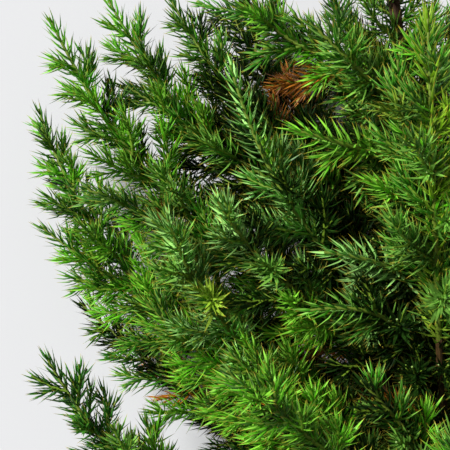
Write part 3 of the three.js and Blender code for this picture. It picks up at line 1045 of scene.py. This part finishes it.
@cache
def twig_tree():
    """Round skin on each path, as thick as the path's own radius."""
    tree, given = new_tree("Twig skin", {"Sides": "Int", "Skin": "Material"})
    ring = add_node(tree, "GeometryNodeCurvePrimitiveCircle", None, {
        "Resolution": given["Sides"], "Radius": 1.0})
    skin = add_node(tree, "GeometryNodeCurveToMesh", None, {
        "Curve": given["Geometry"], "Profile Curve": out_of(ring), "Fill Caps": True,
        "Scale": out_of(add_node(tree, "GeometryNodeInputRadius"))})
    smooth = add_node(tree, "GeometryNodeSetShadeSmooth", None, {"Geometry": out_of(skin)})
    return finish_tree(tree, out_of(smooth), given["Skin"])


@cache
def needle_tree():
    """Whorls of needles along each path, which close up and shorten towards its tip.

    Its inputs are named like the labels of the needles' settings, which feed them.
    """
    tree, given = new_tree("Needle whorls", {
        "Needle": "Object", "Whorl step": "Float", "Spread": "Float", "Tip spread": "Float",
        "Tip length": "Float", "Taper": "Float", "Wobble": "Float", "Length": "Float",
        "Seed": "Int", "Skin": "Material"})
    paths = add_node(tree, "GeometryNodeResampleCurve", {"mode": "LENGTH"}, {
        "Curve": given["Geometry"],
        "Length": out_of(add_node(tree, "GeometryNodeInputRadius")) * given["Whorl step"]})
    spline = add_node(tree, "GeometryNodeSplineParameter")
    from_tip = out_of(add_node(tree, "GeometryNodeSplineLength")) - out_of(spline, "Length")
    wires = {
        "youth": (1 - from_tip.math("DIVIDE", given["Taper"])).math("MAXIMUM", 0.0),
        "whorl": out_of(spline, "Index"),
        "size": out_of(add_node(tree, "GeometryNodeInputRadius")),
    }
    geometry = out_of(paths)
    for name, wire in wires.items():
        geometry = out_of(add_node(tree, "GeometryNodeStoreNamedAttribute", {"domain": "POINT"}, {
            "Geometry": geometry, "Name": name, "Value": wire}))
    points = add_node(tree, "GeometryNodeCurveToPoints", {"mode": "EVALUATED"}, {"Curve": geometry})
    whorls = add_node(tree, "GeometryNodeDuplicateElements", {"domain": "POINT"}, {
        "Geometry": out_of(points), "Amount": WHORL_NEEDLES})
    youth, whorl, size = (
        out_of(add_node(tree, "GeometryNodeInputNamedAttribute", None, {"Name": name}))
        for name in wires)

    def stray(number, least=-1.0, most=1.0):
        node = add_node(tree, "FunctionNodeRandomValue", {"data_type": "FLOAT"}, {
            "Min_001": least, "Max_001": most, "Seed": given["Seed"] + number})
        return out_of(node, "Value_001")

    index = out_of(whorls, "Duplicate Index")
    turn = (whorl * math.radians(WHORL_TURN) + index * (2 * math.pi / WHORL_NEEDLES)
            + stray(1) * given["Wobble"])
    spread = given["Spread"] + youth**CLOSING_POWER * (given["Tip spread"] - given["Spread"])
    spread = spread + stray(2) * given["Wobble"]
    tangent = out_of(points, "Tangent")
    normal = out_of(points, "Normal")
    radial = turned(normal, vectors("CROSS_PRODUCT", tangent, normal), turn)
    ahead = turned(tangent, radial, spread)
    inwards = vectors("SUBTRACT", vectors("SCALE", tangent, spread.math("SINE")),
                      vectors("SCALE", radial, spread.math("COSINE")))
    rotation = out_of(add_node(tree, "FunctionNodeAxesToRotation", {
        "primary_axis": "Z", "secondary_axis": "X"}, {
        "Primary Axis": ahead, "Secondary Axis": inwards}))
    young = 1 + youth * (given["Tip length"] - 1)
    scale = size * young * stray(3, *NEEDLE_SIZES)
    position = out_of(add_node(tree, "GeometryNodeInputPosition"))
    end = vectors("ADD", position, vectors("SCALE", ahead, scale * given["Length"]))
    height = out_of(add_node(tree, "ShaderNodeSeparateXYZ", None, {0: end}), "Z")
    sizes = out_of(add_node(tree, "ShaderNodeCombineXYZ", None, {
        0: scale * stray(4, *NEEDLE_WIDTHS), 1: scale, 2: scale}))
    needle = add_node(tree, "GeometryNodeObjectInfo", None, {"Object": given["Needle"]})
    needles = add_node(tree, "GeometryNodeInstanceOnPoints", None, {
        "Points": out_of(whorls), "Selection": height > FLOOR_CLEARANCE * MM,
        "Instance": out_of(needle, "Geometry"), "Rotation": rotation, "Scale": sizes})
    return finish_tree(tree, out_of(needles), given["Skin"])


def needle_mesh(settings):
    """One needle along Z: its flat face to +X, a keel behind, bowed out in the middle, a sharp end.

    A ring is a share of its length, its width and its arch. Its "shape" holds the place across it from
    -1 to 1, 1 on the keel, and the share of its length.
    """
    rings = ((0.0, 0.6, 0.0), (0.4, 1.0, 1.0))
    vertices = []
    shape = []
    for share, width, bow in rings:
        half = settings.width * width / 2
        x = -settings.arch * bow
        z = settings.length * share
        vertices += [(x, half, z), (x, -half, z), (x - settings.thickness * width, 0, z)]
        shape += [1, 0, share, -1, 0, share, 0, 1, share]
    vertices.append((0, 0, settings.length))
    shape += [0, 0.5, 1]
    faces = [(0, 1, 2)]
    for k in range(3):
        a, b = k, (k + 1) % 3
        faces += [(b, a, a + 3, b + 3), (b + 3, a + 3, 6)]
    mesh = bpy.data.meshes.new("needle")
    mesh.from_pydata(vertices, [], faces)
    mesh.attributes.new("shape", "FLOAT_VECTOR", "POINT").data.foreach_set("vector", shape)
    return bpy.data.objects.new("needle", mesh)


def batches(shoots, settings):
    """The shoots of one tone, in groups whose needles stay under a piece's share of triangles."""
    groups = [[]]
    count = 0
    for shoot in shoots:
        reach = max(0.0, length_of(shoot.path) * MM - settings.tip_reach)
        whorls = reach / (settings.whorl_step * shoot.needle_size) + SPARE_WHORLS
        triangles = whorls * WHORL_NEEDLES * NEEDLE_TRIANGLES
        if groups[-1] and count + triangles > PIECE_TRIANGLES:
            groups.append([])
            count = 0
        groups[-1].append(shoot)
        count += triangles
    return [group for group in groups if group]


class JUNIPER_OT_stem(bpy.types.Operator):
    """Dresses the stem in fibrous bark and shows its cut."""

    bl_idname = "juniper.stem"
    bl_label = "Stem and cut"

    def execute(self, context):
        settings = context.scene.juniper_bark
        path = [placed(p) / MM for p in stretch_of(stem_path(), 0, 1, STEM_RINGS)]
        knots = [placed(bough[0]) / MM for bough in boughs().values()]
        relief_mm = settings.relief / MM

        def relief(turn, along, radius):
            thin = radius / STEM_CUT_RADIUS
            around = Vector((math.cos(turn), math.sin(turn), 0)) * (settings.ridges / RIDGE_SCALE)
            height = STRIPS.height * abs(STRIPS.at(around, along))
            height += FIBRES.height * FIBRES.at(around, along)
            height += FLAKES.height * max(0.0, FLAKES.at(around, along)) ** 2
            return relief_mm * thin * (height - CREVICE_DEPTH)

        radii = (STEM_CUT_RADIUS, STEM_TOP_RADIUS)
        vertices, faces, grain = tube(path, radii, STEM_SIDES, relief)
        for vertex in vertices:
            vertex.z = max(vertex.z, 0)
            near = min((vertex - knot).length for knot in knots)
            if near < KNOT_REACH:
                centre = min(path, key=lambda p: (p - vertex).length_squared)
                vertex += (vertex - centre).normalized() * (KNOT_RISE * (1 - near / KNOT_REACH) ** 2)
        material = bark_material(
            "stem_bark", settings.bark, settings.crevice, strips=420.0, depth=0.0004)
        finish_piece(wood_piece("bark_stem", vertices, faces, grain, material), ["stem"])
        self.cut_face(settings, path)
        return {"FINISHED"}

    def cut_face(self, settings, path):
        """A disc of end grain just proud of the cut, its edge under the bark."""
        out = (path[0] - path[1]).normalized()
        side, over = square_to(-out, reference_for(out))
        centre = path[0] + out * CUT_PROUD
        vertices = [centre]
        grain = [Vector((0, 0, 0))]
        steps = [(STEM_CUT_RADIUS * CUT_SHARE * i / CUT_RINGS, 0) for i in range(1, CUT_RINGS + 1)]
        steps.append((STEM_CUT_RADIUS * CUT_SHARE, CUT_DEPTH))
        for radius, depth in steps:
            for k in range(CUT_SIDES):
                turn = 2 * math.pi * k / CUT_SIDES
                across = Vector((math.cos(turn) * radius, math.sin(turn) * radius, 0))
                vertices.append(centre + side * across.x + over * across.y - out * depth)
                grain.append(across)
        faces = [(0, 1 + (k + 1) % CUT_SIDES, 1 + k) for k in range(CUT_SIDES)]
        faces += band_faces(CUT_RINGS, CUT_SIDES, first=1)
        faces.append(tuple(range(len(vertices) - CUT_SIDES, len(vertices))))
        material = cut_material("cut_wood", settings.wood, settings.heart)
        finish_piece(wood_piece("cut_face", vertices, faces, grain, material, False), ["stem"])


class JUNIPER_OT_boughs(bpy.types.Operator):
    """Dresses the bare boughs in young bark."""

    bl_idname = "juniper.boughs"
    bl_label = "Boughs"

    def execute(self, context):
        settings = context.scene.juniper_bark
        vertices, faces, grain = [], [], []
        for number, bough in enumerate(boughs().values()):
            path = [placed(p) / MM for p in stretch_of(bough, 0, 1, BOUGH_RINGS)]

            def relief(turn, along, radius):
                around = Vector((math.cos(turn), math.sin(turn), number))
                return radius * BOUGH_BARK.height * BOUGH_BARK.at(around, along)

            radii = (BOUGH_FOOT_RADIUS, BOUGH_END_RADIUS)
            own_vertices, own_faces, own_grain = tube(path, radii, BOUGH_SIDES, relief)
            first = len(vertices)
            vertices += own_vertices
            faces += [tuple(i + first for i in face) for face in own_faces]
            grain += [point + Vector((0, 0, BOUGH_GRAIN_STEP * number)) for point in own_grain]
        material = bark_material(
            "young_bark", settings.young_bark, settings.crevice, strips=700.0, depth=0.0002)
        piece = wood_piece("bark_boughs", vertices, faces, grain, material)
        finish_piece(piece, nodes_like("bough_"))
        return {"FINISHED"}


class JUNIPER_OT_twigs(bpy.types.Operator):
    """Grows the twigs: olive where they are old, green where they are young."""

    bl_idname = "juniper.twigs"
    bl_label = "Twigs"

    def execute(self, context):
        colours = context.scene.juniper_colours
        kinds = (
            ("twigs_old", OLD_RADIUS, math.inf, colours.old_twig, OLD_TWIG_SIDES),
            ("twigs_young", YOUNG_RADIUS, OLD_RADIUS, colours.twig, YOUNG_TWIG_SIDES),
            ("twigs_fine", 0, YOUNG_RADIUS, colours.twig, FINE_TWIG_SIDES),
        )
        for name, over, up_to, colour, sides in kinds:
            group = [shoot for shoot in all_shoots() if over < shoot.foot_radius <= up_to]
            material = twig_material(name + "_skin", tuple(colour))
            curves = shoot_curves(name + "_paths", group, TWIG_END)
            piece = applied(curves, twig_tree(), {"Sides": sides, "Skin": material}, name)
            finish_piece(piece, nodes_like("foliage_"))
        return {"FINISHED"}


class JUNIPER_OT_needles(bpy.types.Operator):
    """Sets whorls of needles on every shoot, one tone to each spray."""

    bl_idname = "juniper.needles"
    bl_label = "Needles"

    def execute(self, context):
        settings = context.scene.juniper_needles
        colours = context.scene.juniper_colours
        needle = needle_mesh(settings)
        values = {label: getattr(settings, name) for name, label in settings_in(settings).items()}
        values["Needle"] = needle
        for tone in TONES:
            point = getattr(colours, f"{tone}_point", colours.point)
            back, face = (tuple(getattr(colours, f"{tone}_{part}")) for part in ("back", "face"))
            gloss = settings.deep_gloss if tone == "deep" else settings.gloss
            values["Skin"] = needle_material(tone + "_needles", back, face, tuple(point), gloss)
            group = [shoot for shoot in all_shoots() if shoot.tone == tone]
            for number, batch in enumerate(batches(group, settings), start=1):
                name = f"needles_{tone}_{number}"
                curves = shoot_curves(name + "_paths", batch, settings.tip_reach / MM, needles=True)
                piece = applied(curves, needle_tree(), values, name)
                finish_piece(piece, nodes_like("foliage_"))
        bpy.data.objects.remove(needle)
        return {"FINISHED"}


class JUNIPER_OT_stage(bpy.types.Operator):
    """Sets the pale floor, the soft lights and the camera over the bough."""

    bl_idname = "juniper.stage"
    bl_label = "Stage"

    def execute(self, context):
        settings = context.scene.juniper_stage
        scene = context.scene
        floor_material, shader = new_material("floor_paper", roughness=0.9, specular=0.1)
        shader.inputs["Base Color"].default_value = (*settings.floor, 1)
        half = FLOOR_HALF
        corners = [(-half, -half, 0), (half, -half, 0), (half, half, 0), (-half, half, 0)]
        floor = piece_from("floor", corners, [(0, 1, 2, 3)], floor_material, False)
        world = bpy.data.worlds.new("surround")
        world.use_nodes = True
        surround = world.node_tree.nodes["Background"]
        surround.inputs["Color"].default_value = (1, 1, 1, 1)
        surround.inputs["Strength"].default_value = settings.sky
        scene.world = world
        data = bpy.data.lights.new("key", "SUN")
        data.energy = settings.key
        data.angle = settings.softness
        key = linked("key", data)
        towards = pointing(math.degrees(settings.heading), math.degrees(settings.height))
        key.rotation_mode = "QUATERNION"
        key.rotation_quaternion = towards.to_track_quat("Z", "Y")
        centre = placed((0, 0, FOCUS_HEIGHT))
        camera = linked("camera", bpy.data.cameras.new("camera"))
        camera.location = centre + Vector((0, 0, CAMERA_DISTANCE * MM))
        camera.data.sensor_width = SENSOR_WIDTH
        camera.data.lens = SENSOR_WIDTH * CAMERA_DISTANCE / VIEW_WIDTH
        camera.data.clip_start = CLIP_START
        scene.camera = camera
        scene.view_settings.view_transform = "Standard"
        return {"FINISHED"}


class JUNIPER_PT_panel(bpy.types.Panel):
    """Lists the bough's settings and the steps that dress it."""

    bl_idname = "JUNIPER_PT_panel"
    bl_label = "Juniper bough"
    bl_space_type = "VIEW_3D"
    bl_region_type = "UI"
    bl_category = "Juniper"

    def draw(self, context):
        for group in GROUPS:
            box = self.layout.box()
            settings = getattr(context.scene, group)
            for name in settings_in(settings):
                box.prop(settings, name)
        for step in STEPS:
            self.layout.operator(step.bl_idname)


GROUPS = {
    "juniper_bark": JuniperBark,
    "juniper_needles": JuniperNeedles,
    "juniper_colours": JuniperColours,
    "juniper_stage": JuniperStage,
}
STEPS = (JUNIPER_OT_stem, JUNIPER_OT_boughs, JUNIPER_OT_twigs, JUNIPER_OT_needles, JUNIPER_OT_stage)
CLASSES = (*GROUPS.values(), *STEPS, JUNIPER_PT_panel)


def register():
    for cls in CLASSES:
        bpy.utils.register_class(cls)
    for name, group in GROUPS.items():
        setattr(bpy.types.Scene, name, PointerProperty(type=group))


def unregister():
    for name in GROUPS:
        delattr(bpy.types.Scene, name)
    for cls in reversed(CLASSES):
        bpy.utils.unregister_class(cls)


def main():
    register()
    for step in STEPS:
        category, name = step.bl_idname.split(".")
        getattr(getattr(bpy.ops, category), name)()


if __name__ == "__main__":
    main()
